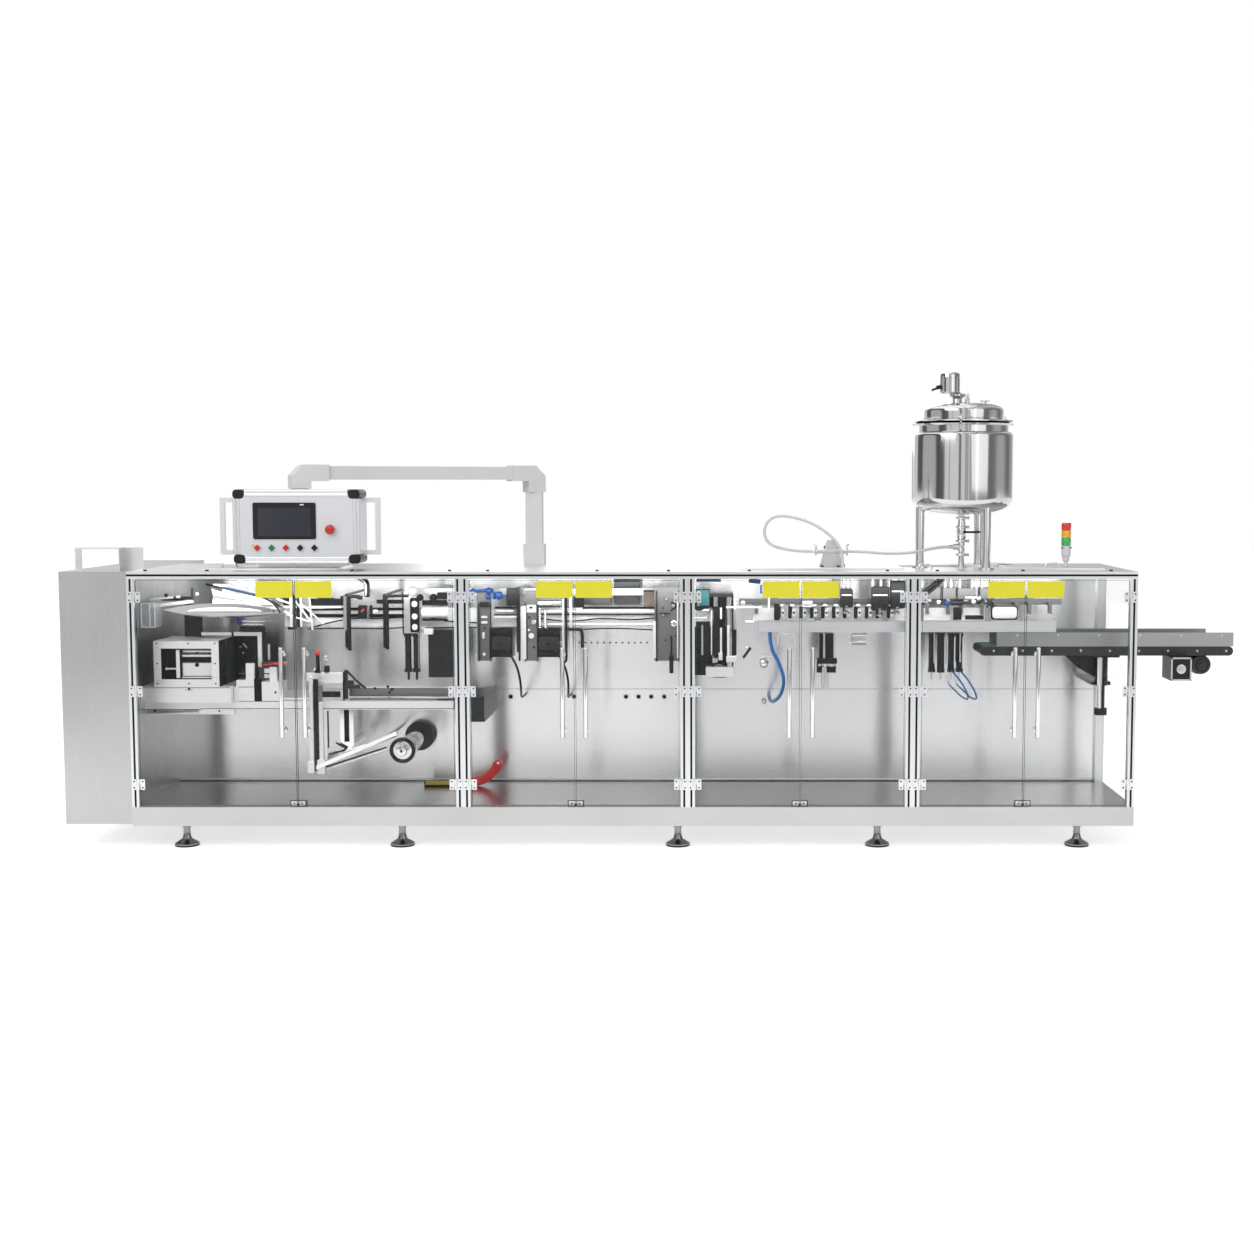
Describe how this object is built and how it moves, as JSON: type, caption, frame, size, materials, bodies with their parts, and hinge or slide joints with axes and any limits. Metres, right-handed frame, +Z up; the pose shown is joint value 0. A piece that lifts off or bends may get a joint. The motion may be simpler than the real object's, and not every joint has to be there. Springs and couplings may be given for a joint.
{
  "type": "stand-up pouch packing machine",
  "caption": "Horizontal machine that forms, fills and seals stand-up pouches behind glazed doors, with a mixing tank, a swing-arm screen and an outfeed conveyor",
  "frame": {"origin": "on the floor, under the middle of the machine", "axes": "+X to the outfeed end, along the machine's length; +Y from the doors to the back; +Z up"},
  "size_m": [4.962, 1.1545, 2.014],
  "materials": {
    "brushed_stainless": "brushed stainless steel sheet",
    "polished_stainless": "polished stainless steel",
    "profile_aluminium": "clear anodised profile",
    "machined_aluminium": "machined and anodised",
    "door_glass": "clear glass",
    "chrome": "bright chrome",
    "dark_steel": "black oxide",
    "cast_grey": "light grey powder coat",
    "panel_grey": "pale grey",
    "control_mix": "screen and push-buttons",
    "belt_green": "green conveyor belting",
    "hose_clear": "pale hose",
    "hose_blue": "blue air hose",
    "hose_black": "black air hose",
    "film_clear": "clear laminate film",
    "lamp_lens": "lamp lenses",
    "lever_red": "red lever",
    "motor_blue": "grey motor paint"
  },
  "bodies": {
    "root": {"front_sill": "polished_stainless", "rear_sill": "polished_stainless", "cross_members": "brushed_stainless", "floor_pan": "brushed_stainless", "levelling_feet": "chrome", "left_cabinet": "brushed_stainless", "frame_posts": "profile_aluminium", "top_rail": "profile_aluminium", "back_wall": "polished_stainless", "rear_housing": "brushed_stainless", "top_deck": "brushed_stainless", "end_window": "door_glass", "hinge_plates": "machined_aluminium", "guard_box": "brushed_stainless", "hmi_post": "cast_grey", "tank_shell": "polished_stainless", "tank_bottom": "polished_stainless", "tank_lid": "polished_stainless", "tank_legs": "polished_stainless", "agitator_drive": "motor_blue", "outlet_valve": "polished_stainless", "pump_bracket": "brushed_stainless", "feed_hose": "hose_clear", "loop_hose": "hose_clear", "blue_hose": "hose_blue", "black_hose_a": "hose_black", "black_hose_b": "hose_black", "blue_loop_a": "hose_blue", "blue_loop_b": "hose_blue", "signal_tower": "lamp_lens", "conveyor_frame": "brushed_stainless", "conveyor_belt": "belt_green", "conveyor_drive": "motor_blue", "conveyor_column": "machined_aluminium", "product_tray": "polished_stainless", "gripper_row": "machined_aluminium", "filler_heads": "machined_aluminium", "infeed_table": "machined_aluminium", "film_box": "polished_stainless", "film_former": "polished_stainless", "film_web": "film_clear", "guide_rollers": "chrome", "sealing_stations": "machined_aluminium", "punch_station": "machined_aluminium", "cutting_station": "dark_steel", "lift_cylinders": "machined_aluminium", "hand_lever": "lever_red"},
    "door_1_left": {"door_1_left": "door_glass"},
    "door_1_right": {"door_1_right": "door_glass"},
    "door_2_left": {"door_2_left": "door_glass"},
    "door_2_right": {"door_2_right": "door_glass"},
    "door_3_left": {"door_3_left": "door_glass"},
    "door_3_right": {"door_3_right": "door_glass"},
    "door_4_left": {"door_4_left": "door_glass"},
    "door_4_right": {"door_4_right": "door_glass"},
    "hmi_arm": {"hmi_arm": "cast_grey"},
    "hmi_panel": {"hmi_box": "panel_grey", "hmi_handles": "machined_aluminium", "hmi_controls": "control_mix"},
    "film_shaft": {"film_shaft": "chrome"}
  },
  "joints": [
    {"name": "door_1_left_hinge", "type": "hinge", "parent": "root", "child": "door_1_left", "pos_m": [-2.17, -0.52875, 0.668], "axis": [0, 0, -1], "range_deg": [0, 110]},
    {"name": "door_1_right_hinge", "type": "hinge", "parent": "root", "child": "door_1_right", "pos_m": [-0.834, -0.52875, 0.668], "axis": [0, 0, 1], "range_deg": [0, 85]},
    {"name": "door_2_left_hinge", "type": "hinge", "parent": "root", "child": "door_2_left", "pos_m": [-0.774, -0.52875, 0.668], "axis": [0, 0, -1], "range_deg": [0, 85]},
    {"name": "door_2_right_hinge", "type": "hinge", "parent": "root", "child": "door_2_right", "pos_m": [0.111, -0.52875, 0.668], "axis": [0, 0, 1], "range_deg": [0, 85]},
    {"name": "door_3_left_hinge", "type": "hinge", "parent": "root", "child": "door_3_left", "pos_m": [0.171, -0.52875, 0.668], "axis": [0, 0, -1], "range_deg": [0, 85]},
    {"name": "door_3_right_hinge", "type": "hinge", "parent": "root", "child": "door_3_right", "pos_m": [1.056, -0.52875, 0.668], "axis": [0, 0, 1], "range_deg": [0, 85]},
    {"name": "door_4_left_hinge", "type": "hinge", "parent": "root", "child": "door_4_left", "pos_m": [1.116, -0.52875, 0.668], "axis": [0, 0, -1], "range_deg": [0, 85]},
    {"name": "door_4_right_hinge", "type": "hinge", "parent": "root", "child": "door_4_right", "pos_m": [1.991, -0.52875, 0.668], "axis": [0, 0, 1], "range_deg": [0, 110]},
    {"name": "arm_swing", "type": "hinge", "parent": "root", "child": "hmi_arm", "pos_m": [-0.57, 0.17725, 1.49685], "axis": [0, 0, 1], "range_deg": [-30, 90]},
    {"name": "panel_swivel", "type": "hinge", "parent": "hmi_arm", "child": "hmi_panel", "pos_m": [-1.51476, -0.3272, 1.51485], "axis": [0, 0, 1], "range_deg": [-90, 90]},
    {"name": "film_spin", "type": "hinge", "parent": "root", "child": "film_shaft", "pos_m": [-1.088, 0.07325, 0.394], "axis": [0, 1, 0], "continuous": true}
  ]
}
